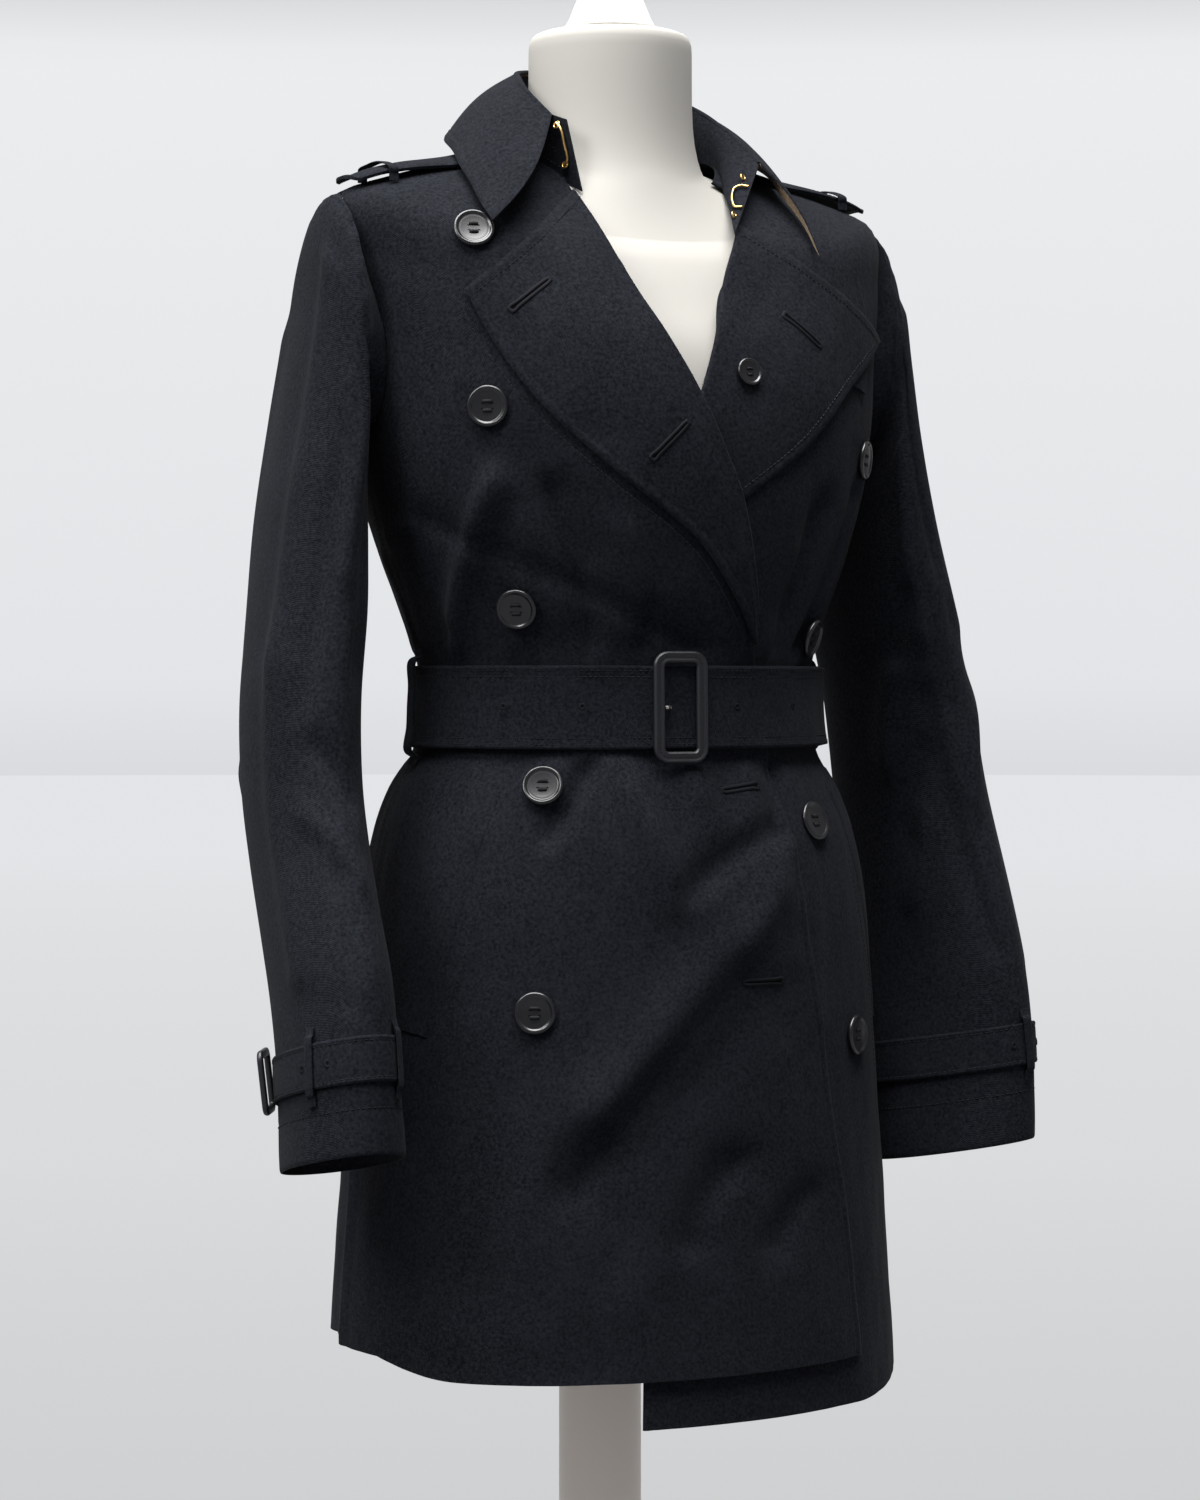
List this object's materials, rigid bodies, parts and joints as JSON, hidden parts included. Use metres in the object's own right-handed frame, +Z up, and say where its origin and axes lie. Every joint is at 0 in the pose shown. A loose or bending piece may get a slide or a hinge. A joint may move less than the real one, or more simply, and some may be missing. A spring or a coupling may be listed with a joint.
{
  "type": "trench coat on a dress form stand",
  "caption": "Short belted double breasted trench coat, worn open at the neck on a limbless dress form with a pole and a round base.",
  "frame": {"origin": "on the pole's axis, at the underside of the base disc, where the stand meets the floor", "axes": "+Z up along the pole; the coat faces -Y; the wearer's right is -X"},
  "size_m": [0.5045, 0.33, 1.5323],
  "materials": {
    "coat_cloth": "matt midnight cotton twill",
    "horn": "polished black horn look",
    "covered_leather": "smooth near black leather over a frame",
    "brass": "drawn wire",
    "steel": "plain",
    "form_cover": "smooth off white shell",
    "wood": "dark stained",
    "cap_lacquer": "white satin lacquer",
    "stand_metal": "satin"
  },
  "bodies": {
    "root": {"front_right": "coat_cloth", "front_left": "coat_cloth", "back": "coat_cloth", "lapel_right": "coat_cloth", "lapel_left": "coat_cloth", "gun_flap": "coat_cloth", "pocket_welt_right": "coat_cloth", "pocket_welt_left": "coat_cloth", "sleeve_right": "coat_cloth", "sleeve_left": "coat_cloth", "cuff_strap_right": "coat_cloth", "cuff_strap_left": "coat_cloth", "cuff_loop_right_1": "coat_cloth", "cuff_loop_right_2": "coat_cloth", "cuff_loop_left_1": "coat_cloth", "cuff_loop_left_2": "coat_cloth", "cuff_buckle_right": "covered_leather", "cuff_buckle_left": "covered_leather", "collar_fall": "coat_cloth", "collar_stand": "coat_cloth", "epaulette_right": "coat_cloth", "epaulette_left": "coat_cloth", "epaulette_loop_right": "coat_cloth", "epaulette_loop_left": "coat_cloth", "button_right_1": "horn", "button_right_2": "horn", "button_right_3": "horn", "button_right_4": "horn", "button_right_5": "horn", "button_left_2": "horn", "button_left_3": "horn", "button_left_4": "horn", "button_left_5": "horn", "button_lapel": "horn", "belt": "coat_cloth", "belt_buckle": "covered_leather", "belt_prong": "steel", "belt_loop_right": "coat_cloth", "belt_loop_left": "coat_cloth", "collar_eye": "brass", "collar_hook": "brass", "form_torso": "form_cover", "neck_disc": "wood", "neck_finial": "cap_lacquer", "pole": "stand_metal", "base": "stand_metal"}
  },
  "joints": []
}
